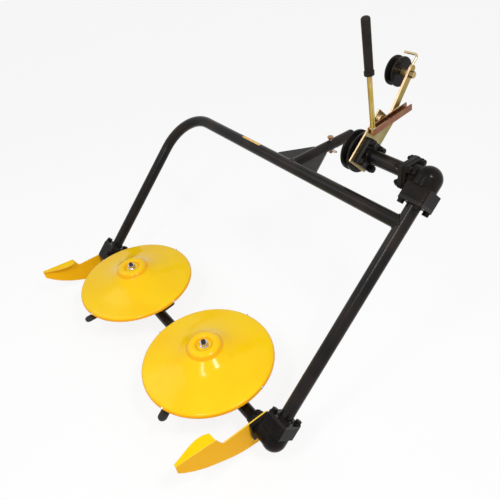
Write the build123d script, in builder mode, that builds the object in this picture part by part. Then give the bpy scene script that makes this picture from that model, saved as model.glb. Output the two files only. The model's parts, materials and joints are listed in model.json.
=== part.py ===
from build123d import *
import math
import os

os.makedirs("parts", exist_ok=True)

# Frame of the part: the origin is the rear end of the hitch tube, +Y points back to the tractor,
# +X to the driven end of the cutter bar, +Z up. Sizes are in millimetres.

# Driving sizes
tube_od = 33.5
tube_wall = 3.2
disc_dia = 355.0
knife_reach = 22.5
frame_angle = 44.2
leg_reach = 577.5
drive_rise = 107.5
hitch_out = 98.5
hitch_length = 230.0
bend_radius = 140.0
bar_drop = 49.5

# Clearances
weld_gap = 0.3
bearing_gap = 0.05
pin_gap = 0.3
side_gap = 1.0
pass_gap = 23.0
runner_gap = 14.0
bracket_gap = 6.0

# Sheet and plate
sheet = 3.0
plate_t = 4.0
gusset_t = 5.0

# Castings
block_half = 31.0
block_start = 20.0
block_end = 52.0
left_block_end = 44.0
left_block_front = 10.0
left_block_cut = 22.0
dome_r = 31.0
dome_shift = 6.0
branch_half = 29.0
branch_reach = 50.0
branch_neck_r = 26.0
branch_root = 8.0
flange_t = 10.0
edge_round = 5.0
leg_flange_t = 8.0

# Cutter bar and disc housings
bar_od = 32.0
bar_flange_half = 22.0
housing_r = 34.0
housing_collar_r = 23.5
housing_collar = 112.0
housing_rise = 12.0
housing_drop = 34.0
housing_taper = 3.0

# Discs
disc_r = disc_dia / 2
hub_r = 44.0
hub_top = 62.0
bowl_r = 27.0
bowl_floor_r = 16.0
bowl_deep = 10.0
hub_foot_r = 52.0
hub_foot_z = 49.0
rim_top = 3.5
rim_lip = 3.5
bowl_round = 8.0
bowl_lip_round = 12.0
hub_round = 10.0
flare_round = 24.0
rim_round = 6.0
spindle_r = 12.5
spindle_flange_r = 30.0
spindle_flange_t = 6.0
spindle_depth = 24.0
stud_r = 6.0
stud_over = 5.0
nut_flat = 19.0
nut_t = 10.0
hex_sides = 6
washer_r = 12.0
washer_t = 2.5

# Knives
knife_count = 4
knife_w = 24.0
knife_t = 4.0
knife_drop = 14.0
knife_bolt_r = 6.0
knife_collar_r = 9.0
knife_head_r = 7.0
knife_head_t = 3.0
knife_heel = 10.0
knife_pivot_in = 18.0
left_knife_turn = 13.0
right_knife_turn = 17.0
left_knife_aim = (-82.0, -77.0, 13.0, -90.0)
right_knife_aim = (-163.0, -73.0, 17.0, -57.0)

# Runners: the curves are shares of the runner's length and depth, and of the flap's length and width
runner_back = 25.0
runner_notch = 104.0
runner_step = 117.0
runner_tip = 221.0
runner_top = -20.0
runner_fold = 11.0
runner_rise = 9.0
runner_nose = 27.0
runner_round = 9.0
runner_low = -114.0
runner_left_drop = 18.0
runner_curve_ratio = ((0.814, 0.404), (0.643, 0.618), (0.498, 0.754), (0.403, 0.842), (0.104, 0.982))
flap_w = 27.5
flap_curve_ratio = ((1.0, 0.18), (0.53, 0.82), (0.24, 1.0), (0.02, 0.78))

# Belt drive
drive_tube_od = 34.0
drive_flange_half = 30.0
bearing_half = 33.0
bearing_t = 14.0
stub_length = 104.5
plate_front = 38.0
plate_back = 98.0
plate_low = 29.0
plate_high = 43.0
plate_corner = 3.0
pulley_gap = 8.0
pulley_dia = 100.0
pulley_w = 26.0
groove_w = 15.0
groove_deep = 12.0
groove_floor = 6.0
shaft_r = 10.0
shaft_hole_r = 18.0
pulley_web = 8.0
pulley_hub_r = 20.0
pulley_rim = 8.0

# Belt tensioner, placed along and across the leg from the drive axis
pivot_along = 80.4
pivot_across = 31.0
pivot_r = 5.0
pivot_head_r = 8.0
pivot_head_t = 2.0
boss_r = 10.0
boss_t = 4.0
lobe_w = 19.0
lever_foot = (51.0, 59.0)
lever_lean = 53.0
rod_length = 126.0
rod_dia = 11.5
rod_fit = 0.3
grip_length = 120.0
grip_dia = 19.0
grip_flare = 1.5
grip_ring = 8.0
grip_round = 6.0
channel_wall = 3.0
channel_back = 7.0
channel_front = 121.0
channel_low = 16.0
channel_high = -1.0
arm_foot = (85.0, 0.0)
arm_over = 12.0
arm_w = 17.0
arm_t = 6.0
idler_along = 198.0
idler_across = 24.0
idler_dia = 68.0
idler_w = 22.0
idler_bolt_r = 5.0
idler_boss_r = 8.0
wire_dia = 6.0
wire_foot = 10.0
wire_out = 46.0
wire_bend = 9.0

# Hitch
hitch_od = 30.0
hitch_neck = 29.0
hitch_seat = 64.0
hitch_wall = 4.0
gusset_side = 62.0
gusset_back = 95.0
gusset_nose = 10.0
pin_back = 150.0
pin_dia = 10.0
pin_up = 22.0
pin_down = 24.0
pin_head_r = 8.0
pin_head_t = 4.0
cap_t = 6.0
cap_gap = 0.5
cap_round = 5.0

# Places worked out from the sizes above
slope_cos = math.cos(math.radians(frame_angle))
slope_sin = math.sin(math.radians(frame_angle))
tip_r = disc_r + knife_reach
disc_spacing = 2 * tip_r + pass_gap
left_disc_x = -hitch_out - disc_spacing / 2
right_disc_x = -hitch_out + disc_spacing / 2
right_x = right_disc_x + tip_r + runner_gap + sheet + branch_reach
left_x = left_disc_x - tip_r - bracket_gap - block_half
cross_y = -hitch_length
bar_y = cross_y - leg_reach * slope_cos
bar_z = -leg_reach * slope_sin
rim_z = bar_z + bar_drop
drive_reach = leg_reach + drive_rise
drive_y = bar_y + drive_reach * slope_cos
drive_z = bar_z + drive_reach * slope_sin
leg_start = block_end + leg_flange_t
left_leg_start = left_block_end + leg_flange_t
right_joint_x = right_x - branch_reach
left_joint_x = left_x + block_half
bearing_x = right_joint_x - flange_t - stub_length
plate_x = bearing_x - bearing_t
pulley_x = plate_x - plate_t - pulley_gap
arm_x = plate_x + boss_t + side_gap
channel_x = arm_x + arm_t
channel_w = rod_dia + 2 * rod_fit + 2 * channel_wall
rod_x = channel_x + channel_w / 2
lever_turn = lever_lean - 90
bowl_floor = hub_top - bowl_deep
knife_r = disc_r - knife_pivot_in
disc_slope = (hub_foot_z - rim_top) / (disc_r - hub_foot_r)
collar_top = rim_top + disc_slope * (knife_pivot_in - knife_collar_r)
collar_top -= sheet * math.hypot(1, disc_slope) + weld_gap


def on_leg(x, reach, lift=0.0):
    """Point on a leg's line, with lift square to the plane of the legs."""
    return (
        x,
        bar_y + reach * slope_cos - lift * slope_sin,
        bar_z + reach * slope_sin + lift * slope_cos,
    )


def leg_plane(x, reach, up=1):
    """Plane of the legs: local x is X, local y runs up the leg, or down it with up = -1."""
    return Plane(origin=on_leg(x, reach), x_dir=(1, 0, 0), z_dir=(0, -up * slope_sin, up * slope_cos))


def cut_plane(x, reach):
    """Plane square to the legs."""
    return Plane(origin=on_leg(x, reach), x_dir=(1, 0, 0), z_dir=(0, slope_cos, slope_sin))


def drive_plane(x):
    """Plane square to X on the drive axis: local x runs up the leg, local y away from it."""
    return Plane(origin=(x, drive_y, drive_z), x_dir=(0, slope_cos, slope_sin), z_dir=(1, 0, 0))


def side_plane(x):
    """Plane square to X on the cutter bar axis, level with the disc rims: local x is Y, local y is Z."""
    return Plane(origin=(x, bar_y, rim_z), x_dir=(0, 1, 0), z_dir=(1, 0, 0))


def within(place, plane):
    """The plane, read in the frame of the place."""
    return Plane(place.location * plane.location)


def save(piece, name):
    piece.part.label = name
    export_step(piece.part, f"parts/{name}.step")


# Frame tubes: the left leg and the cross tube are one bent pipe, welded to the right leg
with BuildPart() as frame_tube:
    with BuildLine(leg_plane(0, 0)):
        FilletPolyline(
            (left_x, left_leg_start), (left_x, leg_reach), (right_x, leg_reach), radius=bend_radius
        )
    with BuildSketch(cut_plane(left_x, left_leg_start)):
        Circle(tube_od / 2)
        Circle(tube_od / 2 - tube_wall, mode=Mode.SUBTRACT)
    sweep()
    with Locations(cut_plane(right_x, leg_reach)):
        Cylinder(tube_od / 2 + weld_gap, drive_reach, mode=Mode.SUBTRACT)
save(frame_tube, "frame_tube")

with BuildPart() as drive_leg:
    with BuildSketch(cut_plane(right_x, leg_start)):
        Circle(tube_od / 2)
        Circle(tube_od / 2 - tube_wall, mode=Mode.SUBTRACT)
    extrude(amount=drive_reach - 2 * leg_start)
save(drive_leg, "drive_leg")


# Corner castings: a domed barrel along the leg, a square block where the leg is bolted on,
# and a level branch with its own square flange
def casting(place):
    with BuildPart() as body:
        with Locations(within(place, Plane((0, 0, -dome_shift)))):
            Sphere(dome_r)
        with BuildSketch(within(place, Plane.XZ.offset(-block_start))):
            with Locations((0, -dome_shift)):
                Circle(dome_r)
        extrude(amount=block_start)
        with BuildSketch(within(place, Plane.XZ.offset(-block_start))):
            RectangleRounded(2 * block_half, 2 * block_half, edge_round)
        extrude(amount=block_start - block_end)
        with BuildSketch(within(place, Plane.YZ.offset(-branch_reach))):
            with Locations(Location((0, 0), -frame_angle)):
                RectangleRounded(2 * branch_half, 2 * branch_half, edge_round)
        extrude(amount=flange_t)
        with BuildSketch(within(place, Plane.YZ.offset(-branch_reach))):
            Circle(branch_neck_r)
        extrude(amount=branch_reach - branch_root)
    return body


lower_gearbox = casting(leg_plane(right_x, 0))
save(lower_gearbox, "lower_gearbox")
upper_gearbox = casting(leg_plane(right_x, drive_reach, -1))
save(upper_gearbox, "upper_gearbox")

with BuildPart() as left_bracket:
    with BuildSketch(within(leg_plane(left_x, 0), Plane.YZ.offset(-block_half))) as bracket_side:
        with BuildLine():
            Polyline(
                (left_block_end, block_half),
                (-left_block_front, block_half),
                (-block_half, block_half - left_block_cut),
                (-block_half, left_block_cut - block_half),
                (-left_block_front, -block_half),
                (left_block_end, -block_half),
                close=True,
            )
        make_face()
        fillet(bracket_side.vertices().sort_by(Axis.X)[:4], edge_round)
    extrude(amount=2 * block_half)
save(left_bracket, "left_bracket")


# Square flanges welded on the leg ends
def leg_flange(x, reach, up, seat):
    with BuildPart() as flange:
        with BuildSketch(within(leg_plane(x, reach, up), Plane.XZ.offset(-seat))):
            RectangleRounded(2 * block_half, 2 * block_half, edge_round)
            Circle(tube_od / 2 - tube_wall, mode=Mode.SUBTRACT)
        extrude(amount=-leg_flange_t)
    return flange


save(leg_flange(left_x, 0, 1, left_block_end), "left_leg_flange")
save(leg_flange(right_x, 0, 1, block_end), "lower_leg_flange")
save(leg_flange(right_x, drive_reach, -1, block_end), "upper_leg_flange")

# Cutter bar with its end flanges
with BuildPart() as cutter_bar:
    bar_left = left_joint_x
    bar_right = right_joint_x - sheet
    with BuildSketch(side_plane(bar_left)):
        with Locations((0, -bar_drop)):
            Circle(bar_od / 2)
    extrude(amount=bar_right - bar_left)
    with BuildSketch(side_plane(bar_left), side_plane(bar_right - flange_t)):
        with Locations((0, -bar_drop)):
            RectangleRounded(2 * bar_flange_half, 2 * bar_flange_half, edge_round)
    extrude(amount=flange_t)
save(cutter_bar, "cutter_bar")


# Disc housings clamped round the bar, each with the bore that carries a spindle
def disc_housing(x):
    with BuildPart() as housing:
        with BuildSketch(Plane((x, bar_y, bar_z - housing_drop))):
            Circle(housing_r)
        extrude(amount=housing_drop + bar_drop + housing_rise, taper=housing_taper)
        with BuildSketch(side_plane(x - housing_collar / 2)):
            with Locations((0, -bar_drop)):
                Circle(housing_collar_r)
        extrude(amount=housing_collar)
        with BuildSketch(side_plane(x - housing_collar)):
            with Locations((0, -bar_drop)):
                Circle(bar_od / 2 + weld_gap)
        extrude(amount=2 * housing_collar, mode=Mode.SUBTRACT)
        with BuildSketch(Plane((x, bar_y, rim_z + housing_rise))):
            Circle(spindle_r + bearing_gap)
        extrude(amount=-spindle_depth, mode=Mode.SUBTRACT)
    return housing


save(disc_housing(left_disc_x), "disc_housing_left")
save(disc_housing(right_disc_x), "disc_housing_right")


# Dished discs, with a shallow bowl pressed into the hub for the nut
def disc(x):
    place = Plane((x, bar_y, rim_z))
    with BuildPart() as dish:
        with BuildSketch(within(place, Plane.XZ)):
            with BuildLine():
                FilletPolyline(
                    (stud_r + pin_gap, bowl_floor),
                    (bowl_floor_r, bowl_floor),
                    (bowl_r, hub_top),
                    (hub_r, hub_top),
                    (hub_foot_r, hub_foot_z),
                    (disc_r, rim_top),
                    (disc_r, -rim_lip),
                    radius=(bowl_round, bowl_lip_round, hub_round, flare_round, rim_round),
                )
                offset(amount=-sheet, side=Side.RIGHT)
            make_face()
        revolve(axis=Axis((x, bar_y, rim_z), (0, 0, 1)))
    return dish


save(disc(left_disc_x), "disc_left")
save(disc(right_disc_x), "disc_right")


# Spindle with its flange under the hub, and the nut on top
def spindle(x):
    seat = bowl_floor - sheet
    place = Plane((x, bar_y, rim_z + seat))
    with BuildPart() as shaft:
        with BuildSketch(place):
            Circle(spindle_flange_r)
        extrude(amount=-spindle_flange_t)
        with BuildSketch(place):
            Circle(spindle_r)
        extrude(amount=housing_rise - spindle_depth + side_gap - seat)
        with BuildSketch(place):
            Circle(stud_r)
        extrude(amount=sheet + washer_t + nut_t + stud_over)
    return shaft


def hub_nut(x):
    place = Plane((x, bar_y, rim_z + bowl_floor))
    with BuildPart() as nut:
        with BuildSketch(place):
            Circle(washer_r)
            Circle(stud_r + bearing_gap, mode=Mode.SUBTRACT)
        extrude(amount=washer_t)
        with BuildSketch(place.offset(washer_t)):
            RegularPolygon(nut_flat / 2, hex_sides, major_radius=False)
            Circle(stud_r + bearing_gap, mode=Mode.SUBTRACT)
        extrude(amount=nut_t)
    return nut


save(spindle(left_disc_x), "spindle_left")
save(spindle(right_disc_x), "spindle_right")
save(hub_nut(left_disc_x), "hub_nut_left")
save(hub_nut(right_disc_x), "hub_nut_right")


# Knives swing on bolts under the rim
def knife_bolts(x, turn):
    place = Plane((x, bar_y, rim_z - knife_drop + side_gap))
    with BuildPart() as bolts:
        with BuildSketch(place):
            with PolarLocations(knife_r, knife_count, start_angle=turn):
                Circle(knife_collar_r)
        extrude(amount=knife_drop - side_gap + collar_top)
        with BuildSketch(place):
            with PolarLocations(knife_r, knife_count, start_angle=turn):
                Circle(knife_bolt_r)
        extrude(amount=-knife_t - 2 * side_gap)
        with BuildSketch(place.offset(-knife_t - 2 * side_gap)):
            with PolarLocations(knife_r, knife_count, start_angle=turn):
                Circle(knife_head_r)
        extrude(amount=-knife_head_t)
    return bolts


def knife(x, angle, aim):
    px = x + knife_r * math.cos(math.radians(angle))
    py = bar_y + knife_r * math.sin(math.radians(angle))
    length = tip_r - knife_r
    with BuildPart() as blade:
        with BuildSketch(Plane((px, py, rim_z - knife_drop)).rotated((0, 0, aim))):
            with Locations(((length - knife_heel) / 2, 0)):
                RectangleRounded(length + knife_heel, knife_w, knife_w / 2 - pin_gap)
            Circle(knife_bolt_r + pin_gap, mode=Mode.SUBTRACT)
        extrude(amount=-knife_t)
    return blade


save(knife_bolts(left_disc_x, left_knife_turn), "knife_bolts_left")
save(knife_bolts(right_disc_x, right_knife_turn), "knife_bolts_right")
for step in range(knife_count):
    left_turn = left_knife_turn + 360 / knife_count * step
    right_turn = right_knife_turn + 360 / knife_count * step
    save(knife(left_disc_x, left_turn, left_knife_aim[step]), f"knife_left_{step + 1}")
    save(knife(right_disc_x, right_turn, right_knife_aim[step]), f"knife_right_{step + 1}")


# Runners: sled-shaped side sheets with a flap folded in over the front
def runner(x, inward, drop):
    place = Plane((x, bar_y, rim_z - drop))
    nose_z = runner_fold + runner_rise - runner_nose
    flap_run = math.hypot(runner_tip - runner_step, runner_rise)
    flap_tilt = (0, runner_rise, runner_tip - runner_step)
    belly = [(-runner_tip * along, runner_low * depth) for along, depth in runner_curve_ratio]
    edge = [(inward * flap_w * width, -flap_run * along) for along, width in flap_curve_ratio]
    with BuildPart() as sled:
        with BuildSketch(within(place, Plane.YZ)) as side:
            with BuildLine():
                Polyline(
                    (runner_back, runner_low),
                    (runner_back, runner_top),
                    (-runner_notch, runner_top),
                    (-runner_step, runner_fold),
                    (-runner_tip, runner_fold + runner_rise),
                    (-runner_tip, nose_z),
                )
                Spline((-runner_tip, nose_z), *belly, (runner_back, runner_low))
            make_face()
            notch = side.vertices().sort_by_distance((-runner_notch, runner_top, 0))[0]
            fillet(notch, runner_round)
        extrude(amount=-inward * sheet)
        with BuildSketch(
            within(place, Plane(origin=(0, -runner_step, runner_fold), x_dir=(1, 0, 0), z_dir=flap_tilt))
        ):
            with BuildLine():
                Polyline(edge[-1], (-inward * sheet, 0), (-inward * sheet, -flap_run), edge[0])
                Spline(*edge)
            make_face()
        extrude(amount=-sheet)
    return sled


save(runner(left_x - block_half, 1, runner_left_drop), "runner_left")
save(runner(right_joint_x - sheet, -1, 0), "runner_right")

# Drive tube between the upper gearbox and the bearing flange
with BuildPart() as drive_tube:
    with BuildSketch(drive_plane(right_joint_x - flange_t)):
        with Locations(Location((0, 0), -frame_angle)):
            RectangleRounded(2 * drive_flange_half, 2 * drive_flange_half, edge_round)
    extrude(amount=flange_t)
    with BuildSketch(drive_plane(bearing_x)):
        Circle(drive_tube_od / 2)
    extrude(amount=stub_length)
save(drive_tube, "drive_tube")

with BuildPart() as bearing_flange:
    with BuildSketch(drive_plane(plate_x)):
        RectangleRounded(2 * bearing_half, 2 * bearing_half, edge_round)
        Circle(shaft_r + side_gap, mode=Mode.SUBTRACT)
    extrude(amount=bearing_t)
save(bearing_flange, "bearing_flange")

with BuildPart() as clutch_plate:
    with BuildSketch(drive_plane(plate_x - plate_t)):
        with Locations(((plate_back - plate_front) / 2, (plate_high - plate_low) / 2)):
            RectangleRounded(plate_back + plate_front, plate_high + plate_low, plate_corner)
        Circle(shaft_hole_r, mode=Mode.SUBTRACT)
        with Locations((pivot_along, pivot_across)):
            Circle(pivot_r + bearing_gap, mode=Mode.SUBTRACT)
    extrude(amount=plate_t)
save(clutch_plate, "clutch_plate")


# Grooved pulleys, turned about the axis of the place from its plane to the width
def turned_pulley(place, rim_r, width, bore, dish):
    mid = width / 2
    with BuildPart() as wheel:
        with BuildSketch(within(place, Plane.XZ)):
            with BuildLine():
                Polyline(
                    (bore, 0),
                    (rim_r, 0),
                    (rim_r, mid - groove_w / 2),
                    (rim_r - groove_deep, mid - groove_floor / 2),
                    (rim_r - groove_deep, mid + groove_floor / 2),
                    (rim_r, mid + groove_w / 2),
                    (rim_r, width),
                    (bore, width),
                    close=True,
                )
            make_face()
        revolve(axis=Axis(place.origin, place.z_dir))
        if dish > 0:
            with BuildSketch(place, place.offset(width - dish)):
                Circle(rim_r - groove_deep - pulley_rim)
                Circle(pulley_hub_r, mode=Mode.SUBTRACT)
            extrude(amount=dish, mode=Mode.SUBTRACT)
    return wheel


pulley_place = Plane(origin=(pulley_x - pulley_w, drive_y, drive_z), x_dir=(0, 1, 0), z_dir=(1, 0, 0))
drive_pulley = turned_pulley(pulley_place, pulley_dia / 2, pulley_w, shaft_r + bearing_gap, pulley_web)
save(drive_pulley, "drive_pulley")

with BuildPart() as drive_shaft:
    with BuildSketch(drive_plane(pulley_x - pulley_w)):
        Circle(shaft_r)
    extrude(amount=bearing_x - pulley_x + pulley_w - side_gap)
    with BuildSketch(drive_plane(pulley_x - pulley_w)):
        Circle(pulley_hub_r - edge_round)
    extrude(amount=-washer_t)
    with BuildSketch(drive_plane(pulley_x - pulley_w - washer_t)):
        RegularPolygon(nut_flat / 2, hex_sides, major_radius=False)
    extrude(amount=-nut_t)
save(drive_shaft, "drive_shaft")

# Tensioner: pivot bolt on the plate, flat arm, lever, channel, idler and its wire guard
with BuildPart() as pivot_bolt:
    with BuildSketch(drive_plane(plate_x - plate_t - pivot_head_t)):
        with Locations((pivot_along, pivot_across)):
            Circle(pivot_head_r)
    extrude(amount=pivot_head_t)
    with BuildSketch(drive_plane(plate_x - plate_t)):
        with Locations((pivot_along, pivot_across)):
            Circle(pivot_r)
    extrude(amount=channel_x - plate_x + plate_t - rod_fit)
    with BuildSketch(drive_plane(plate_x)):
        with Locations((pivot_along, pivot_across)):
            Circle(boss_r)
    extrude(amount=boss_t)
save(pivot_bolt, "pivot_bolt")

with BuildPart() as idler_arm:
    arm_run = Vector(idler_along, idler_across) - Vector(*arm_foot)
    lobe_run = Vector(pivot_along, pivot_across) - Vector(*arm_foot)
    arm_turn = math.degrees(math.atan2(arm_run.Y, arm_run.X))
    lobe_turn = math.degrees(math.atan2(lobe_run.Y, lobe_run.X))
    with BuildSketch(drive_plane(arm_x)):
        with Locations(Location(arm_foot, arm_turn)):
            with Locations(((arm_run.length + arm_over) / 2, 0)):
                SlotCenterToCenter(arm_run.length + arm_over, arm_w)
        with Locations(Location(arm_foot, lobe_turn)):
            with Locations((lobe_run.length / 2, 0)):
                SlotCenterToCenter(lobe_run.length, lobe_w)
        with Locations((pivot_along, pivot_across)):
            Circle(pivot_r + bearing_gap, mode=Mode.SUBTRACT)
        with Locations((idler_along, idler_across)):
            Circle(idler_bolt_r + bearing_gap, mode=Mode.SUBTRACT)
    extrude(amount=arm_t)
save(idler_arm, "idler_arm")

with BuildPart() as lever_channel:
    channel_length = channel_back + channel_front
    channel_h = channel_low + channel_high
    with BuildSketch(drive_plane(channel_x)):
        with Locations(Location(lever_foot, lever_turn)):
            with Locations((channel_front - channel_length / 2, channel_high - channel_h / 2)):
                Rectangle(channel_length, channel_h)
    extrude(amount=channel_w)
    with BuildSketch(drive_plane(channel_x + channel_wall)):
        with Locations(Location(lever_foot, lever_turn)):
            with Locations((channel_front - channel_length / 2, channel_high - channel_h / 2 + channel_wall)):
                Rectangle(channel_length, channel_h)
    extrude(amount=channel_w - 2 * channel_wall, mode=Mode.SUBTRACT)
save(lever_channel, "lever_channel")


def lever_point(run):
    """Point on the lever's rod, counted up from the level of the pivot."""
    along = lever_foot[0] + run * math.cos(math.radians(lever_lean))
    across = lever_foot[1] + run * math.sin(math.radians(lever_lean))
    return Vector(*on_leg(rod_x, drive_reach + along, across))


def lever_plane(run):
    return Plane(origin=lever_point(run), x_dir=(1, 0, 0), z_dir=lever_point(rod_length) - lever_point(0))


with BuildPart() as lever_rod:
    rod_foot = channel_wall - channel_low
    with BuildSketch(lever_plane(rod_foot)):
        Circle(rod_dia / 2)
    extrude(amount=rod_length - rod_foot + grip_length / 2)
save(lever_rod, "lever_rod")

with BuildPart() as lever_grip:
    with BuildSketch(lever_plane(rod_length)):
        Circle(grip_dia / 2)
    extrude(amount=grip_length)
    fillet(lever_grip.edges().filter_by(GeomType.CIRCLE).group_by(Axis.Z)[-1], grip_round)
    with BuildSketch(lever_plane(rod_length)):
        Circle(grip_dia / 2 + grip_flare)
    extrude(amount=grip_ring)
    with BuildSketch(lever_plane(rod_length)):
        Circle(rod_dia / 2 + bearing_gap)
    extrude(amount=grip_length / 2, mode=Mode.SUBTRACT)
save(lever_grip, "lever_grip")

idler_x = pulley_x - (pulley_w - idler_w) / 2
idler_centre = on_leg(0, drive_reach + idler_along, idler_across)
idler_place = Plane(
    origin=(idler_x - idler_w, idler_centre[1], idler_centre[2]), x_dir=(0, 1, 0), z_dir=(1, 0, 0)
)
idler_pulley = turned_pulley(idler_place, idler_dia / 2, idler_w, idler_bolt_r + bearing_gap, 0)
save(idler_pulley, "idler_pulley")

with BuildPart() as idler_bolt:
    with BuildSketch(idler_place.offset(-side_gap)):
        Circle(idler_bolt_r)
    extrude(amount=arm_x + arm_t - idler_x + idler_w + side_gap)
    with BuildSketch(idler_place.offset(idler_w + side_gap)):
        Circle(idler_boss_r)
    extrude(amount=arm_x - idler_x - side_gap)
    with BuildSketch(idler_place.offset(-side_gap)):
        Circle(pivot_head_r)
    extrude(amount=-washer_t)
    with BuildSketch(idler_place.offset(idler_w + arm_x - idler_x + arm_t)):
        RegularPolygon(pivot_head_r, hex_sides)
    extrude(amount=nut_t)
save(idler_bolt, "idler_bolt")

with BuildPart() as belt_guard:
    wire_x = arm_x - wire_dia / 2
    wire_low = drive_reach + idler_along + wire_foot
    wire_high = drive_reach + idler_along + wire_out
    with BuildLine():
        FilletPolyline(
            on_leg(wire_x, wire_low, idler_across),
            on_leg(wire_x, wire_high, idler_across),
            on_leg(idler_x - idler_w, wire_high, idler_across),
            radius=wire_bend,
        )
    with BuildSketch(cut_plane(wire_x, wire_low)):
        with Locations((0, -idler_across)):
            Circle(wire_dia / 2)
    sweep()
save(belt_guard, "belt_guard")

# Hitch tube, its gussets and the locking pin
with BuildPart() as hitch_tube:
    with BuildSketch(Plane.XZ.offset(-cross_y)):
        Circle(hitch_neck / 2)
    extrude(amount=cross_y)
    with BuildSketch(Plane.XZ):
        Circle(hitch_od / 2)
    extrude(amount=hitch_seat)
    with BuildSketch(Plane.XZ.offset(hitch_wall)):
        Circle(hitch_neck / 2 - hitch_wall)
    extrude(amount=hitch_length, mode=Mode.SUBTRACT)
    with Locations(Location((0, cross_y, 0), (0, 90, 0))):
        Cylinder(tube_od / 2 + weld_gap, hitch_length, mode=Mode.SUBTRACT)
    with Locations((0, cross_y + pin_back, 0)):
        Cylinder(pin_dia / 2 + bearing_gap, hitch_length, mode=Mode.SUBTRACT)
save(hitch_tube, "hitch_tube")

with BuildPart() as hitch_cap:
    with BuildSketch(Plane.XZ):
        Circle(hitch_od / 2 - cap_gap)
    extrude(amount=-cap_t)
    fillet(hitch_cap.edges().group_by(Axis.Y)[-1], cap_round)
save(hitch_cap, "hitch_cap")


def gusset(side):
    root = hitch_neck / 2 + weld_gap
    foot = cross_y + tube_od / 2 + weld_gap
    with BuildPart() as web:
        with BuildSketch(Plane.XY.offset(-gusset_t / 2)):
            with BuildLine():
                Polyline(
                    (side * root, foot),
                    (side * (root + gusset_side), foot),
                    (side * (root + gusset_side), foot + gusset_nose),
                    (side * (root + gusset_nose), foot + gusset_back),
                    (side * root, foot + gusset_back),
                    close=True,
                )
            make_face()
        extrude(amount=gusset_t)
    return web


save(gusset(-1), "gusset_left")
save(gusset(1), "gusset_right")

with BuildPart() as hitch_pin:
    with BuildSketch(Plane((0, cross_y + pin_back, -pin_down))):
        Circle(pin_dia / 2)
    extrude(amount=pin_down + pin_up)
    with BuildSketch(Plane((0, cross_y + pin_back, pin_up))):
        Circle(pin_head_r)
    extrude(amount=pin_head_t)
save(hitch_pin, "hitch_pin")
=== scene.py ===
import json
import math

import bmesh
import bpy
from mathutils import Matrix, Vector

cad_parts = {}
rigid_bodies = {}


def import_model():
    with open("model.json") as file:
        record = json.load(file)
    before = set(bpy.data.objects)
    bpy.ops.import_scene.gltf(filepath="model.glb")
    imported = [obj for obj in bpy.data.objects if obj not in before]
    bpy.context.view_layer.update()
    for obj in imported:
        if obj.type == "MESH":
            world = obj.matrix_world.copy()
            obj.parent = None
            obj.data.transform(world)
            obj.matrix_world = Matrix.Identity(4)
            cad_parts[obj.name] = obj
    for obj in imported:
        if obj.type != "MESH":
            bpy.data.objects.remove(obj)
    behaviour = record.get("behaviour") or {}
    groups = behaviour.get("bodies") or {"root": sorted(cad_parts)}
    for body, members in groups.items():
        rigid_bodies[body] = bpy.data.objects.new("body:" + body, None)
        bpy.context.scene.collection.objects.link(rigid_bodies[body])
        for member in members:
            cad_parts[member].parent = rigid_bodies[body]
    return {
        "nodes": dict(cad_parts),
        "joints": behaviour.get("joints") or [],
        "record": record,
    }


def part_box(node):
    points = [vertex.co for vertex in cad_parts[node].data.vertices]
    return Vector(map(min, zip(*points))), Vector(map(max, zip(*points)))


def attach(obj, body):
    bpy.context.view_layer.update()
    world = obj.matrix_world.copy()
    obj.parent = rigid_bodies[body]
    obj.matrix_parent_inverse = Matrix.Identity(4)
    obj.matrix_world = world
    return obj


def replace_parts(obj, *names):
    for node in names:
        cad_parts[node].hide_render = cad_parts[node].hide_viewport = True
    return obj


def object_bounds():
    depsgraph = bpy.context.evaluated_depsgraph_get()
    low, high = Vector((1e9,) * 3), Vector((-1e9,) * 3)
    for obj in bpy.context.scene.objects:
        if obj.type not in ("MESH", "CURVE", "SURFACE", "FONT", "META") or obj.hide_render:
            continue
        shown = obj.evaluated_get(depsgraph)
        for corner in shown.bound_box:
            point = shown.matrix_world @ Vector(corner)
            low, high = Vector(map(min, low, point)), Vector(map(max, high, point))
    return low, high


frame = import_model()
cad_box = [list(corner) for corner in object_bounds()]
nodes = frame["nodes"]
mm = 0.001

# Sizes of the small pieces
bolt_flat = 15 * mm
bolt_head = 8 * mm
bolt_inset = 9 * mm
hex_face = 0.95
hex_slope = 0.6
washer_t = 1.8 * mm
washer_over = 1.28
washer_side = 0.8
washer_slope = 0.3
thread_r = 4.6 * mm
thread_root = 0.86
thread_pitch = 1.5 * mm
thread_turns = 4
flange_t = 10 * mm
sheet_t = 3 * mm
sink = 0.2 * mm
bead_r = 3.0 * mm
thin_bead_r = 2.0 * mm
bead_pitch = 4.0 * mm
bead_step = 1.2 * mm
bead_ripple = 0.22
bead_rise = 0.3
hitch_neck_r = 14.5 * mm
plug_flat = 11 * mm
plug_head = 4 * mm
neck_r = 26 * mm
rivet_r = 3.2 * mm
rivet_out = 2.4 * mm
label_start = -211 * mm
label_end = -130 * mm
label_low = math.radians(66)
label_high = math.radians(99)
label_t = 0.3 * mm
clip_wire_r = 1.3 * mm
clip_drop = 2.5 * clip_wire_r
ring_points = 24
bead_points = 8
smooth_angle = math.radians(32)

# Stops of the masks and clouds in the materials
edge_stop = 0.80
face_stop = 0.985
steep_stop = 0.55
level_stop = 0.82
skew_stop = 0.35
square_stop = 0.70
cloud_low = 0.3
cloud_high = 0.7
bump_strength = 0.5
small_round = 0.5 * mm


# Places read from the frame
def mid(node):
    """Middle of a node's box."""
    low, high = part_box(node)
    return (low + high) / 2


def reach(node, axis):
    """Lowest and highest place of a node along an axis."""
    spots = [vertex.co.dot(axis) for vertex in nodes[node].data.vertices]
    return min(spots), max(spots)


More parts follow.
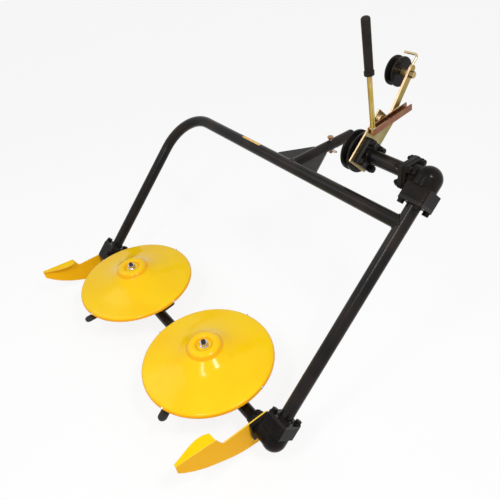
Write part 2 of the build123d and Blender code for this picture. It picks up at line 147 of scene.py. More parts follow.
x_dir = Vector((1, 0, 0))
y_dir = Vector((0, 1, 0))
z_dir = Vector((0, 0, 1))
bar = mid("cutter_bar")
drive = mid("drive_pulley")
leg_dir = Vector((0, drive.y - bar.y, drive.z - bar.z)).normalized()
lift_dir = x_dir.cross(leg_dir)
leg_x = mid("drive_leg").x
left_x = mid("left_bracket").x
tube_r = reach("drive_leg", x_dir)[1] - leg_x
cross_along = reach("frame_tube", leg_dir)[1] - tube_r - bar.dot(leg_dir)
joint_x = reach("drive_tube", x_dir)[1]
rod_dir = (mid("lever_grip") - mid("lever_rod")).normalized()
channel_dir = rod_dir.cross(x_dir)


def on_leg(x, along, lift=0.0):
    """Point counted along a leg from the cutter bar, with lift square to the plane of the legs."""
    return Vector((x, bar.y, bar.z)) + leg_dir * along + lift_dir * lift


def seat(origin, out, first):
    """Frame at the origin with its z along out and its x along first."""
    return Matrix.Translation(origin) @ Matrix((first, out.cross(first), out)).transposed().to_4x4()


# Materials
def new_material(name):
    mat = bpy.data.materials.new(name)
    mat.use_nodes = True
    tree = mat.node_tree
    return mat, tree, tree.nodes["Principled BSDF"]


def add(tree, kind, **sockets):
    """New node with values set on its sockets."""
    node = tree.nodes.new(kind)
    for key, value in sockets.items():
        node.inputs[key.replace("_", " ")].default_value = value
    return node


def noise(tree, scale, detail=3.0, stretch=(1, 1, 1)):
    """Clouds in the frame of the piece."""
    coords = tree.nodes.new("ShaderNodeTexCoord")
    mapping = add(tree, "ShaderNodeMapping", Scale=stretch)
    tex = add(tree, "ShaderNodeTexNoise", Scale=scale, Detail=detail)
    tree.links.new(coords.outputs["Object"], mapping.inputs["Vector"])
    tree.links.new(mapping.outputs["Vector"], tex.inputs["Vector"])
    return tex.outputs["Fac"]


def ramp(tree, fac, stops):
    """Colour ramp with a stop for each pair of place and colour."""
    node = tree.nodes.new("ShaderNodeValToRGB")
    band = node.color_ramp
    while len(band.elements) < len(stops):
        band.elements.new(0.5)
    for element, (place, colour) in zip(band.elements, stops):
        element.position = place
        element.color = (*colour, 1.0)
    tree.links.new(fac, node.inputs["Fac"])
    return node.outputs["Color"]


def grey(low, high):
    """Two grey stops for a ramp, each given as place and value."""
    return [(low[0], (low[1],) * 3), (high[0], (high[1],) * 3)]


def mixed(tree, fac, under, over):
    """Colour that goes from under to a plain colour as fac goes from 0 to 1."""
    node = tree.nodes.new("ShaderNodeMix")
    node.data_type = "RGBA"
    tree.links.new(fac, node.inputs["Factor"])
    tree.links.new(under, node.inputs["A"])
    node.inputs["B"].default_value = (*over, 1.0)
    return node.outputs["Result"]


def edges(tree, width, most):
    """Mask that rises from 0 on the faces to most along the edges of a piece."""
    bevel = add(tree, "ShaderNodeBevel", Radius=width)
    shape = tree.nodes.new("ShaderNodeNewGeometry")
    turn = tree.nodes.new("ShaderNodeVectorMath")
    turn.operation = "DOT_PRODUCT"
    tree.links.new(bevel.outputs["Normal"], turn.inputs[0])
    tree.links.new(shape.outputs["Normal"], turn.inputs[1])
    return ramp(tree, turn.outputs["Value"], grey((edge_stop, most), (face_stop, 0.0)))


def facing(tree, axis, low, high):
    """Mask by the direction of a face in the piece's own frame, along X, Y or Z either way."""
    coords = tree.nodes.new("ShaderNodeTexCoord")
    parts = tree.nodes.new("ShaderNodeSeparateXYZ")
    size = tree.nodes.new("ShaderNodeMath")
    size.operation = "ABSOLUTE"
    tree.links.new(coords.outputs["Normal"], parts.inputs["Vector"])
    tree.links.new(parts.outputs[axis], size.inputs[0])
    return ramp(tree, size.outputs["Value"], grey(low, high))


def relief(tree, shader, height, depth, round_edge):
    """Fine relief on a surface, whose edges are rounded off where there is a radius for it."""
    bump = add(tree, "ShaderNodeBump", Strength=bump_strength, Distance=depth)
    tree.links.new(height, bump.inputs["Height"])
    if round_edge:
        bevel = add(tree, "ShaderNodeBevel", Radius=round_edge)
        tree.links.new(bevel.outputs["Normal"], bump.inputs["Normal"])
    tree.links.new(bump.outputs["Normal"], shader.inputs["Normal"])


def uneven_gloss(tree, shader, scale, rough):
    """Roughness that drifts between two values over a surface."""
    cloud = noise(tree, scale)
    gloss = ramp(tree, cloud, grey((cloud_low, rough[0]), (cloud_high, rough[1])))
    tree.links.new(gloss, shader.inputs["Roughness"])


def enamel(
    name,
    stops,
    rough,
    shine,
    edge_wear_and_highlight,
    peel,
    depth,
    scale=9.0,
    round_edge=0.8 * mm,
    side=None,
    edge_band=1.2 * mm,
):
    """Sprayed paint: cloudy colour, a deeper colour on steep faces as painted shade where a side colour
    is given, edge wear that on the runners is a pale painted highlight, uneven gloss and orange peel.
    """
    mat, tree, shader = new_material(name)
    colour = ramp(tree, noise(tree, scale), stops)
    # A deeper orange on steep faces where a side colour is given: painted shade on the sides, which take
    # less light.
    if side:
        steep = facing(tree, "Z", (steep_stop, 1.0), (level_stop, 0.0))
        colour = mixed(tree, steep, colour, side)
    # Edge colour: wear, and on the runners a pale painted highlight along the fold and the edges.
    shade, amount = edge_wear_and_highlight
    colour = mixed(tree, edges(tree, edge_band, amount), colour, shade)
    tree.links.new(colour, shader.inputs["Base Color"])
    uneven_gloss(tree, shader, scale * 3, rough)
    shader.inputs["Specular IOR Level"].default_value = shine
    relief(tree, shader, noise(tree, peel, detail=2.0), depth, round_edge)
    return mat


def beyond(tree, mask, x):
    """Keeps a mask only past a place along X."""
    coords = tree.nodes.new("ShaderNodeTexCoord")
    parts = tree.nodes.new("ShaderNodeSeparateXYZ")
    past = tree.nodes.new("ShaderNodeMath")
    past.operation = "GREATER_THAN"
    past.inputs[1].default_value = x
    both = tree.nodes.new("ShaderNodeMath")
    both.operation = "MULTIPLY"
    tree.links.new(coords.outputs["Object"], parts.inputs["Vector"])
    tree.links.new(parts.outputs["X"], past.inputs[0])
    tree.links.new(past.outputs["Value"], both.inputs[0])
    tree.links.new(mask, both.inputs[1])
    return both.outputs["Value"]


def zinc(name, stops, side_sheen_and_shade, rough=(0.24, 0.38), scale=24.0, stretch=(1, 1, 1), past=None):
    """Yellow passivated zinc: rainbow clouds, and another colour on the faces that don't look along X and
    on the edges, a painted sheen for the tint the film shows at a slant, which on the idler nut is a
    painted shade on its sides.
    """
    side_share = 0.75
    rim_share = 0.5
    rim_width = 0.8 * mm
    gloss_scale = 70.0
    grain = 500.0
    grain_depth = 0.05 * mm
    mat, tree, shader = new_material(name)
    colour = ramp(tree, noise(tree, scale, 4.0, stretch), stops)
    # Faces that don't look along X and the edges get the other colour: painted sheen, and painted shade
    # on the sides of the idler nut.
    sides = facing(tree, "X", (skew_stop, side_share), (square_stop, 0.0))
    rims = edges(tree, rim_width, rim_share)
    if past is not None:
        sides = beyond(tree, sides, past)
        rims = beyond(tree, rims, past)
    colour = mixed(tree, sides, colour, side_sheen_and_shade)
    colour = mixed(tree, rims, colour, side_sheen_and_shade)
    tree.links.new(colour, shader.inputs["Base Color"])
    uneven_gloss(tree, shader, gloss_scale, rough)
    shader.inputs["Metallic"].default_value = 0.9
    relief(tree, shader, noise(tree, grain, 2.0, stretch), grain_depth, small_round)
    return mat


def plain_metal(name, stops, rough, metal, edge_wear_and_highlight, grain, depth, shine=0.5):
    """Bare or blackened steel, or rubber, with a fine grain and rubbed edges."""
    cloud_scale = 40.0
    gloss_scale = 90.0
    edge_band = 0.9 * mm
    mat, tree, shader = new_material(name)
    shader.inputs["Specular IOR Level"].default_value = shine
    colour = ramp(tree, noise(tree, cloud_scale), stops)
    shade, amount = edge_wear_and_highlight
    colour = mixed(tree, edges(tree, edge_band, amount), colour, shade)
    tree.links.new(colour, shader.inputs["Base Color"])
    uneven_gloss(tree, shader, gloss_scale, rough)
    shader.inputs["Metallic"].default_value = metal
    relief(tree, shader, noise(tree, grain), depth, small_round)
    return mat


# Yellow paint on the discs; the runners have a paler copy of the same paint, and the difference is
# painted light.
disc_yellow = enamel(
    "disc_yellow",
    [(0.35, (0.93, 0.56, 0.003)), (0.65, (0.94, 0.61, 0.006))],
    rough=(0.12, 0.18),
    shine=0.16,
    edge_wear_and_highlight=((0.95, 0.58, 0.02), 0.3),
    peel=260.0,
    depth=0.02 * mm,
    # Painted shade: deeper orange on the rim band, the hub wall and the steep part of the flare.
    side=(0.92, 0.40, 0.002),
)
# The same yellow paint as the discs, in a copy made a little paler: painted light.
runner_yellow = enamel(
    "runner_yellow",
    [(0.35, (0.97, 0.58, 0.003)), (0.65, (0.98, 0.63, 0.006))],
    rough=(0.26, 0.36),
    shine=0.07,
    # Pale colour on a wide band at the edges: painted highlight along the fold and the edges of the
    # runner.
    edge_wear_and_highlight=((1.0, 0.76, 0.22), 0.8),
    peel=260.0,
    depth=0.05 * mm,
    # Painted shade: deeper orange on the upright sides of the runners.
    side=(1.0, 0.50, 0.004),
    edge_band=2.2 * mm,
)
tube_black = enamel(
    "tube_black",
    [(0.32, (0.005, 0.004, 0.004)), (0.52, (0.010, 0.008, 0.007)), (0.72, (0.020, 0.013, 0.011))],
    rough=(0.22, 0.28),
    shine=0.16,
    edge_wear_and_highlight=((0.05, 0.04, 0.035), 0.35),
    peel=160.0,
    depth=0.01 * mm,
    scale=14.0,
    round_edge=None,
)
cast_black = enamel(
    "cast_black",
    [(0.32, (0.004, 0.004, 0.004)), (0.55, (0.009, 0.007, 0.006)), (0.75, (0.018, 0.012, 0.010))],
    rough=(0.17, 0.24),
    shine=0.08,
    edge_wear_and_highlight=((0.04, 0.035, 0.03), 0.4),
    peel=190.0,
    depth=0.10 * mm,
    scale=22.0,
    round_edge=2.2 * mm,
)
plate_zinc = zinc(
    "plate_zinc",
    [
        (0.30, (0.23, 0.19, 0.07)),
        (0.47, (0.33, 0.28, 0.12)),
        (0.60, (0.42, 0.34, 0.16)),
        (0.74, (0.42, 0.27, 0.16)),
    ],
    side_sheen_and_shade=(0.72, 0.50, 0.30),
)
arm_zinc = zinc(
    "arm_zinc",
    [(0.30, (0.22, 0.17, 0.04)), (0.50, (0.36, 0.28, 0.08)), (0.72, (0.46, 0.30, 0.13))],
    side_sheen_and_shade=(0.78, 0.50, 0.33),
)
rod_zinc = zinc(
    "rod_zinc",
    [
        (0.34, (0.11, 0.05, 0.025)),
        (0.44, (0.42, 0.32, 0.05)),
        (0.55, (0.64, 0.50, 0.13)),
        (0.66, (0.40, 0.17, 0.11)),
    ],
    side_sheen_and_shade=(0.42, 0.26, 0.08),
    rough=(0.16, 0.26),
    scale=1.0,
    stretch=(100, 100, 4),
)
channel_zinc = zinc(
    "channel_zinc",
    [(0.30, (0.18, 0.065, 0.042)), (0.50, (0.27, 0.11, 0.07)), (0.70, (0.30, 0.18, 0.08))],
    side_sheen_and_shade=(0.40, 0.24, 0.10),
)
bolt_zinc = zinc(
    "bolt_zinc",
    [(0.30, (0.38, 0.30, 0.14)), (0.55, (0.60, 0.52, 0.30)), (0.75, (0.58, 0.40, 0.28))],
    side_sheen_and_shade=(0.54, 0.42, 0.24),
)
# Idler nut: gold faces, with near-black sides past the arm as painted shade.
nut_zinc_shaded_sides = zinc(
    "nut_zinc_shaded_sides",
    [(0.30, (0.34, 0.22, 0.08)), (0.55, (0.52, 0.38, 0.15)), (0.75, (0.54, 0.34, 0.18))],
    side_sheen_and_shade=(0.03, 0.02, 0.015),
    past=reach("idler_arm", x_dir)[1],
)
steel = plain_metal(
    "bright_steel",
    [(0.3, (0.50, 0.49, 0.50)), (0.7, (0.66, 0.65, 0.67))],
    rough=(0.18, 0.32),
    metal=1.0,
    edge_wear_and_highlight=((0.8, 0.8, 0.8), 0.5),
    grain=700.0,
    depth=0.04 * mm,
)
knife_steel = plain_metal(
    "knife_steel",
    [(0.3, (0.020, 0.018, 0.017)), (0.7, (0.045, 0.040, 0.036))],
    rough=(0.36, 0.52),
    metal=0.3,
    edge_wear_and_highlight=((0.10, 0.085, 0.08), 0.7),
    grain=420.0,
    depth=0.12 * mm,
    shine=0.15,
)
pulley_black = plain_metal(
    "pulley_black",
    [(0.3, (0.004, 0.004, 0.004)), (0.7, (0.011, 0.009, 0.008))],
    rough=(0.20, 0.32),
    metal=0.0,
    edge_wear_and_highlight=((0.04, 0.035, 0.03), 0.4),
    grain=380.0,
    depth=0.05 * mm,
    shine=0.14,
)
rubber = plain_metal(
    "grip_rubber",
    [(0.3, (0.011, 0.009, 0.008)), (0.7, (0.019, 0.016, 0.013))],
    rough=(0.52, 0.68),
    metal=0.0,
    edge_wear_and_highlight=((0.065, 0.052, 0.046), 0.4),
    grain=900.0,
    depth=0.15 * mm,
    shine=0.14,
)
amber = enamel(
    "blank_label",
    [(0.35, (0.72, 0.40, 0.07)), (0.65, (0.84, 0.52, 0.14))],
    rough=(0.3, 0.42),
    shine=0.2,
    edge_wear_and_highlight=((0.86, 0.60, 0.26), 0.5),
    peel=600.0,
    depth=0.03 * mm,
    scale=60.0,
)

slot_looks = {
    "yellow_paint": disc_yellow,
    "black_paint": tube_black,
    "knife_steel": knife_steel,
    "zinc_plate": plate_zinc,
    "bright_steel": steel,
    "grip_rubber": rubber,
    "pulley_black": pulley_black,
}
node_looks = {
    "runner_left": runner_yellow,
    "runner_right": runner_yellow,
    "lower_gearbox": cast_black,
    "upper_gearbox": cast_black,
    "left_bracket": cast_black,
    "disc_housing_left": cast_black,
    "disc_housing_right": cast_black,
    "lever_rod": rod_zinc,
    "lever_channel": channel_zinc,
    "idler_arm": arm_zinc,
    "belt_guard": bolt_zinc,
    "pivot_bolt": bolt_zinc,
    "idler_bolt": nut_zinc_shaded_sides,
    "hitch_pin": channel_zinc,
    "spindle_left": knife_steel,
    "spindle_right": knife_steel,
}
for entry in frame["record"]["subparts"]:
    node = entry["node"]
    surface = nodes[node].data.materials
    surface.clear()
    surface.append(node_looks.get(node, slot_looks[entry["material_slot"]]))


# Mesh helpers
def ring(bm, place, radius_at, height_at, points=ring_points):
    """Points round the z of the place, with a radius and a height for each angle."""
    verts = []
    for step in range(points):
        angle = 2 * math.pi * step / points
        radius = radius_at(angle)
        point = Vector((radius * math.cos(angle), radius * math.sin(angle), height_at(angle)))
        verts.append(bm.verts.new(place @ point))
    return verts


def skin(bm, rings, closed=False):
    """Faces between rings of points, with a lid on each end unless the rings close on themselves."""
    pairs = list(zip(rings, rings[1:]))
    if closed:
        pairs.append((rings[-1], rings[0]))
    else:
        bm.faces.new(rings[0])
        bm.faces.new(rings[-1])
    for low, high in pairs:
        for step in range(len(low)):
            after = (step + 1) % len(low)
            bm.faces.new((low[step], low[after], high[after], high[step]))


def turned(bm, place, profile, points=ring_points, closed=False):
    """Solid turned about the z of the place from pairs of radius and height."""
    rings = []
    for radius, height in profile:
        rings.append(ring(bm, place, lambda angle: radius, lambda angle: height, points))
    skin(bm, rings, closed)


def hex_head(bm, place, flat, tall):
    """Six-sided head with its corners turned off at the top."""
    face_r = hex_face * flat / 2

    def side(angle):
        return flat / 2 / math.cos(angle % (math.pi / 3) - math.pi / 6)

    def shoulder(angle):
        return tall - (side(angle) - face_r) * hex_slope

    rings = [
        ring(bm, place, side, lambda angle: 0.0),
        ring(bm, place, side, shoulder),
        ring(bm, place, lambda angle: face_r, lambda angle: tall),
    ]
    skin(bm, rings)


def bolt(bm, place, flat=bolt_flat, tall=bolt_head):
    """Washer and head of a bolt, standing on the place."""
    wide = flat / 2 * washer_over
    lip = wide - washer_t * washer_slope
    turned(bm, place, [(wide, -sink), (wide, washer_t * washer_side), (lip, washer_t)])
    hex_head(bm, place @ Matrix.Translation((0, 0, washer_t - sink)), flat, tall)


def nut(bm, place):
    """Washer, nut and the threaded end of a bolt."""
    bolt(bm, place)
    top = washer_t + bolt_head - 2 * sink
    profile = []
    for turn in range(thread_turns):
        profile.append((thread_r, top + turn * thread_pitch))
        profile.append((thread_r * thread_root, top + (turn + 0.5) * thread_pitch))
    turned(bm, place, profile)


def bead(bm, path, size, closed=False, ripple=bead_ripple):
    """Bead or wire along a path, with the scales of a weld where there is a ripple."""
    square_enough = 0.7
    rings = []
    count = len(path)
    for step, point in enumerate(path):
        before = path[step - 1] if step or closed else point
        after = path[(step + 1) % count] if step + 1 < count or closed else point
        along = (after - before).normalized()
        first = along.orthogonal().normalized()
        for axis in (x_dir, y_dir, z_dir):
            if abs(along.dot(axis)) < square_enough:
                first = along.cross(axis).normalized()
                break
        second = along.cross(first)
        scale = (step * bead_step / bead_pitch) % 1.0
        radius = size * (1 - ripple * scale)
        verts = []
        for turn in range(bead_points):
            angle = 2 * math.pi * turn / bead_points
            spoke = first * math.cos(angle) + second * math.sin(angle)
            verts.append(bm.verts.new(point + spoke * radius))
        rings.append(verts)
    skin(bm, rings, closed)


def circle(place, radius):
    """Path round the z of the place."""
    steps = int(2 * math.pi * radius / bead_step)
    path = []
    for step in range(steps):
        angle = 2 * math.pi * step / steps
        path.append(place @ Vector((radius * math.cos(angle), radius * math.sin(angle), 0)))
    return path


def straight(start, end):
    """Path in a line from start to end."""
    steps = max(2, int((end - start).length / bead_step))
    return [start.lerp(end, step / steps) for step in range(steps + 1)]


def smooth(points, steps=6):
    """Smooth path through listed points."""
    path = []
    guide = [points[0], *points, points[-1]]
    for p0, p1, p2, p3 in zip(guide, guide[1:], guide[2:], guide[3:]):
        for step in range(steps):
            t = step / steps
            pull = (p2 - p0) * t
            pull += (2 * p0 - 5 * p1 + 4 * p2 - p3) * t**2
            pull += (3 * p1 - p0 - 3 * p2 + p3) * t**3
            path.append(p1 + pull / 2)
    return [*path, points[-1]]


def settle(name, bm, body, material):
    """Turns the mesh into a piece that rides on a body."""
    bmesh.ops.recalc_face_normals(bm, faces=bm.faces)
    mesh = bpy.data.meshes.new(name)
    bm.to_mesh(mesh)
    bm.free()
    mesh.shade_smooth()
    mesh.set_sharp_from_angle(angle=smooth_angle)
    mesh.materials.append(material)
    piece = bpy.data.objects.new(name, mesh)
    bpy.context.scene.collection.objects.link(piece)
    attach(piece, body)
    return piece


# Bolts at the corners of the square flanges
def corner_bolts(bm, node, out, first, second, fastener, face=None):
    """Fasteners at the four corners of a flange, on its face that looks along out."""
    level = reach(node, out)[1] if face is None else face
    low_a, high_a = reach(node, first)
    low_b, high_b = reach(node, second)
    for a in (low_a + bolt_inset, high_a - bolt_inset):
        for b in (low_b + bolt_inset, high_b - bolt_inset):
            fastener(bm, seat(out * level + first * a + second * b, out, first))


for node, out in (
    ("left_leg_flange", leg_dir),
    ("lower_leg_flange", leg_dir),
    ("upper_leg_flange", -leg_dir),
):
    bm = bmesh.new()
    corner_bolts(bm, node, out, x_dir, lift_dir, bolt)
    settle(f"{node}_bolts", bm, "frame", cast_black)

bm = bmesh.new()
corner_bolts(bm, "bearing_flange", x_dir, leg_dir, lift_dir, bolt)
settle("bearing_flange_bolts", bm, "frame", cast_black)

bm = bmesh.new()
corner_bolts(bm, "drive_tube", x_dir, y_dir, z_dir, bolt, joint_x + flange_t)
corner_bolts(bm, "drive_tube", -x_dir, y_dir, z_dir, nut, flange_t - joint_x)
settle("drive_tube_bolts", bm, "frame", cast_black)

bm = bmesh.new()
bar_joint_x = reach("cutter_bar", x_dir)[1]
corner_bolts(bm, "cutter_bar", x_dir, y_dir, z_dir, bolt, bar_joint_x + sheet_t + flange_t)
corner_bolts(bm, "cutter_bar", -x_dir, y_dir, z_dir, nut, flange_t - bar_joint_x)
settle("bar_right_bolts", bm, "frame", cast_black)

bm = bmesh.new()
bar_left_x = reach("cutter_bar", x_dir)[0]
corner_bolts(bm, "cutter_bar", x_dir, y_dir, z_dir, bolt, bar_left_x + flange_t)
settle("bar_left_bolts", bm, "frame", cast_black)

# Bolts that hold the left runner on its bracket
runner_bolt_rows = (-8 * mm, 26 * mm)
runner_bolt_out = 14 * mm
runner_bolt_dome = (
    (10 * mm, -sink),
    (9 * mm, 1.4 * mm),
    (6.5 * mm, 2.6 * mm),
    (2.5 * mm, 3.2 * mm),
)
bm = bmesh.new()
for along in runner_bolt_rows:
    for lift in (-runner_bolt_out, runner_bolt_out):
        origin = on_leg(reach("runner_left", x_dir)[0], along, lift)
        if origin.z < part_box("runner_left")[1].z - bolt_flat:
            turned(bm, seat(origin, -x_dir, leg_dir), runner_bolt_dome)
settle("runner_left_bolts", bm, "frame", cast_black)

# Plugs of the castings
bracket_plug_across = 19 * mm
bracket_plug_along = 20 * mm
barrel_plug_across = 21 * mm
bracket_top = reach("left_bracket", lift_dir)[1] - bar.dot(lift_dir)
barrel_x = joint_x + barrel_plug_across
drive_along = (drive - bar).dot(leg_dir)
bm = bmesh.new()
for origin, out in (
    (on_leg(left_x + bracket_plug_across, bracket_plug_along, bracket_top), lift_dir),
    (on_leg(barrel_x, drive_along, neck_r), lift_dir),
    (on_leg(barrel_x, 0, -neck_r), -lift_dir),
):
    bolt(bm, seat(origin, out, x_dir), plug_flat, plug_head)
settle("casting_plugs", bm, "frame", cast_black)

# Welds round the tubes where they meet their flanges
weld_r = tube_r + bead_r * bead_rise
bm = bmesh.new()
for x, node, out in (
    (left_x, "left_leg_flange", leg_dir),
    (leg_x, "lower_leg_flange", leg_dir),
    (leg_x, "upper_leg_flange", -leg_dir),
):
    face = reach(node, out)[1]
    origin = Vector((x, 0, 0)) + out * face + lift_dir * bar.dot(lift_dir)
    bead(bm, circle(seat(origin, out, x_dir), weld_r), bead_r, closed=True)
for x in (reach("bearing_flange", x_dir)[1], joint_x - flange_t):
    bead(bm, circle(seat(Vector((x, drive.y, drive.z)), x_dir, y_dir), weld_r), bead_r, closed=True)
settle("flange_welds", bm, "frame", cast_black)

# Weld of the cross tube to the right leg, and of the hitch tube and gussets to the cross tube
bm = bmesh.new()
saddle = []
for point in circle(Matrix.Identity(4), tube_r):
    inset = math.sqrt(max(tube_r**2 - point.y**2, 0))
    saddle.append(on_leg(leg_x - inset, cross_along + point.x, point.y))
bead(bm, saddle, bead_r, closed=True)
cross = on_leg(0, cross_along)
hitch_joint = []
for point in circle(Matrix.Identity(4), hitch_neck_r):
    hitch_joint.append(cross + Vector((point.x, math.sqrt(tube_r**2 - point.y**2), point.y)))
bead(bm, hitch_joint, bead_r, closed=True)
for node in ("gusset_left", "gusset_right"):
    low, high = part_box(node)
    inner, outer = (high.x, low.x) if high.x < 0 else (low.x, high.x)
    for z in (low.z, high.z):
        root = Vector((inner, low.y, z))
        bead(bm, straight(root, Vector((outer, low.y, z))), thin_bead_r)
        bead(bm, straight(root, Vector((inner, high.y, z))), thin_bead_r)
settle("frame_welds", bm, "frame", tube_black)

# Welds of the lever: round the foot of the rod, and along the channel where it crosses the arm
weld_mid = 86 * mm
weld_run = 11 * mm
rod_rise = 12 * mm
rod_mid = mid("lever_rod")
rod_r = reach("lever_rod", x_dir)[1] - rod_mid.x
rod_foot = rod_mid + rod_dir * (reach("lever_rod", rod_dir)[0] - rod_mid.dot(rod_dir))
rod_weld = seat(rod_foot + rod_dir * rod_rise, rod_dir, x_dir)
channel_x = reach("lever_channel", x_dir)[0]
bm = bmesh.new()
bead(bm, circle(rod_weld, rod_r), thin_bead_r, closed=True)
for level in reach("lever_channel", rod_dir):
    middle = rod_foot + rod_dir * (level - rod_foot.dot(rod_dir)) + channel_dir * weld_mid
    middle.x = channel_x
    bead(bm, straight(middle - channel_dir * weld_run, middle + channel_dir * weld_run), thin_bead_r)
settle("lever_welds", bm, "tension_lever", bolt_zinc)

# Pressed discs, with the long flare from the hub down to the sheet, and a rivet in the rim at each knife.
# The profile is drawn in pairs of radius and height over the rim, in millimetres.
disc_points = 144
rim_lip = 3.5
rivet_dome = (
    (rivet_r, -rivet_out),
    (rivet_r * 0.9, rivet_out * 0.6),
    (rivet_r * 0.5, rivet_out),
)
disc_profile = (
    (6.5, 52),
    (14, 52),
    (18.5, 53.6),
    (23, 58.8),
    (27.5, 61.4),
    (32, 61.9),
    (37, 60.6),
    (42, 57.4),
    (46, 52.8),
    (49.5, 48.4),
    (55, 44.4),
    (64, 38.2),
    (76, 30.8),
    (94, 23.4),
    (120, 15.6),
    (150, 9.8),
    (166, 7),
    (173, 4.6),
    (176.6, 0.6),
    (177.5, -rim_lip),
)


def pressed_sheet(profile):
    """Outline of a sheet whose top follows the profile."""
    top = smooth([Vector((radius * mm, height * mm)) for radius, height in profile])
    under = []
    for step, point in enumerate(top):
        run = top[min(step + 1, len(top) - 1)] - top[max(step - 1, 0)]
        under.append(point + Vector((run.y, -run.x)).normalized() * sheet_t)
    return top + under[::-1]


for body in ("disc_left", "disc_right"):
    low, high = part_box(body)
    hub = (low + high) / 2
    rim_r = (high.x - low.x) / 2
    bm = bmesh.new()
    rim_level = Matrix.Translation((hub.x, hub.y, low.z + rim_lip * mm))
    turned(bm, rim_level, pressed_sheet(disc_profile), disc_points, closed=True)
    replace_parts(settle(f"{body}_sheet", bm, body, disc_yellow), body)
    bm = bmesh.new()
    for joint in frame["joints"]:
        if joint["parent"] == body:
            out = Vector(joint["pos_m"]) - hub
            out.z = 0
            out.normalize()
            origin = Vector((hub.x, hub.y, low.z + rivet_r)) + out * (rim_r - sink)
            turned(bm, seat(origin, out, z_dir), rivet_dome)
    settle(f"{body}_rivets", bm, body, steel)

# Spring clip through the hitch pin, under the tube, drawn in millimetres from the pin
clip_points = (
    (-8, 0),
    (2, 0),
    (10, 0),
    (17, 1),
    (19, 4),
    (16, 7),
    (10, 6),
    (4, 7.5),
    (-2, 6),
    (-6, 7.5),
)
pin = mid("hitch_pin")
clip_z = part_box("hitch_tube")[0].z - clip_drop
clip_path = smooth([Vector((pin.x + x * mm, pin.y + y * mm, clip_z)) for x, y in clip_points])
bm = bmesh.new()
bead(bm, clip_path, clip_wire_r, ripple=0)
settle("hitch_clip", bm, "frame", plate_zinc)

# Blank strip label on the cross tube
label_steps = 10
label_arcs = (
    (tube_r + label_t, label_low, label_high),
    (tube_r - sink, label_high, label_low),
)
bm = bmesh.new()
rows = []
for x in (label_start, label_end):
    row = []
    for radius, start, end in label_arcs:
        for step in range(label_steps + 1):
            angle = start + (end - start) * step / label_steps
            spoke = Vector((x, radius * math.cos(angle), radius * math.sin(angle)))
            row.append(bm.verts.new(cross + spoke))
    rows.append(row)
skin(bm, rows)
settle("blank_label", bm, "frame", amber)

# Floor and light
floor_under = 1 * mm
floor_size = 60
floor_y = -0.4
floor_rough = 0.9
floor_shine = 0.1
floor_cloud = 3.0
floor_dark = 0.90
floor_pale = 0.93
lowest = min(corner[2] for corner in cad_box)
bpy.ops.mesh.primitive_plane_add(size=floor_size, location=(0, floor_y, lowest - floor_under))
floor = bpy.context.object
floor.name = "floor"
floor_mat, floor_tree, floor_shader = new_material("pale_floor")
floor_shader.inputs["Roughness"].default_value = floor_rough
floor_shader.inputs["Specular IOR Level"].default_value = floor_shine
floor_stops = grey((cloud_low, floor_dark), (cloud_high, floor_pale))
floor_tone = ramp(floor_tree, noise(floor_tree, floor_cloud), floor_stops)
floor_tree.links.new(floor_tone, floor_shader.inputs["Base Color"])
floor.data.materials.append(floor_mat)


def seen_directly(tree):
    """1 for what the camera sees itself, in a mirror or through glass, and 0 for light on the object."""
    path = tree.nodes.new("ShaderNodeLightPath")
    total = path.outputs["Is Camera Ray"]
    for name in ("Is Glossy Ray", "Is Transmission Ray"):
        join = tree.nodes.new("ShaderNodeMath")
        join.operation = "MAXIMUM"
        tree.links.new(total, join.inputs[0])
        tree.links.new(path.outputs[name], join.inputs[1])
        total = join.outputs["Value"]
    return total


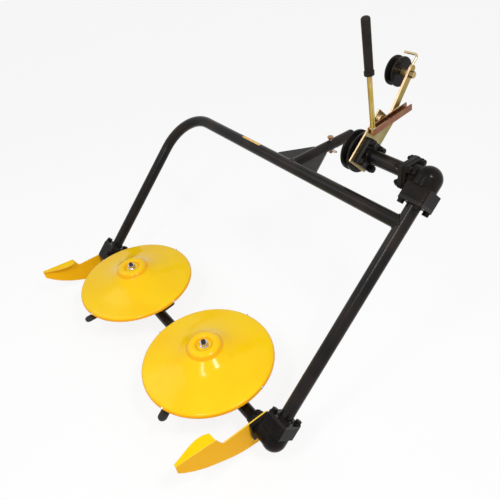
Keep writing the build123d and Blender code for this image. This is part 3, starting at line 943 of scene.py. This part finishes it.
floor_glow = 0.86
glow = add(floor_tree, "ShaderNodeEmission", Color=(1, 1, 1, 1), Strength=1.0)
share = floor_tree.nodes.new("ShaderNodeMath")
share.operation = "MULTIPLY"
share.inputs[1].default_value = floor_glow
floor_tree.links.new(seen_directly(floor_tree), share.inputs[0])
blend = floor_tree.nodes.new("ShaderNodeMixShader")
floor_tree.links.new(share.outputs["Value"], blend.inputs["Fac"])
floor_tree.links.new(floor_shader.outputs["BSDF"], blend.inputs[1])
floor_tree.links.new(glow.outputs["Emission"], blend.inputs[2])
floor_tree.links.new(blend.outputs["Shader"], floor_tree.nodes["Material Output"].inputs["Surface"])

sky_light = 0.44
world = bpy.data.worlds.new("studio")
bpy.context.scene.world = world
world.use_nodes = True
sky_tree = world.node_tree
sky = sky_tree.nodes["Background"]
sky.inputs["Color"].default_value = (1, 1, 1, 1)
level = sky_tree.nodes.new("ShaderNodeMapRange")
level.inputs["To Min"].default_value = sky_light
level.inputs["To Max"].default_value = 1.0
sky_tree.links.new(seen_directly(sky_tree), level.inputs["Value"])
sky_tree.links.new(level.outputs["Result"], sky.inputs["Strength"])


def soft_box(name, place, aim, wide, tall, power):
    """Studio lamp with a rectangular face, in metres and watts."""
    data = bpy.data.lights.new(name, "AREA")
    data.shape = "RECTANGLE"
    data.size = wide
    data.size_y = tall
    data.energy = power
    lamp = bpy.data.objects.new(name, data)
    bpy.context.scene.collection.objects.link(lamp)
    lamp.location = place
    lamp.rotation_euler = (Vector(aim) - Vector(place)).to_track_quat("-Z", "Y").to_euler()


centre = (mid("disc_left") + mid("disc_right")) / 2
soft_box("right_box", place=(1.18, -0.41, 1.36), aim=centre, wide=0.22, tall=0.22, power=9)
soft_box("right_glow", place=(1.30, -0.38, 1.50), aim=centre, wide=0.6, tall=0.6, power=7)
soft_box("front_box", place=(0.44, -1.30, 1.05), aim=centre, wide=0.20, tall=0.60, power=8)
soft_box("left_fill", place=(-1.1, -1.3, 1.2), aim=centre, wide=0.9, tall=0.9, power=4)

# Camera at the angle of the photo, from the fit to the disc rims and the tubes
photo_px = 500
photo_focal_px = 504.467
sensor = 36
camera_place = Vector((0.939197, -0.959888, 0.688422))
camera_right = Vector((0.594906, 0.794169, -0.124027))
camera_ahead = Vector((-0.666750, 0.401388, -0.627959))
camera = bpy.data.objects.new("camera", bpy.data.cameras.new("camera"))
bpy.context.scene.collection.objects.link(camera)
camera.data.sensor_width = sensor
camera.data.lens = photo_focal_px * sensor / photo_px
camera.matrix_world = seat(camera_place, -camera_ahead, camera_right)
bpy.context.scene.camera = camera
bpy.context.scene.view_settings.view_transform = "Standard"
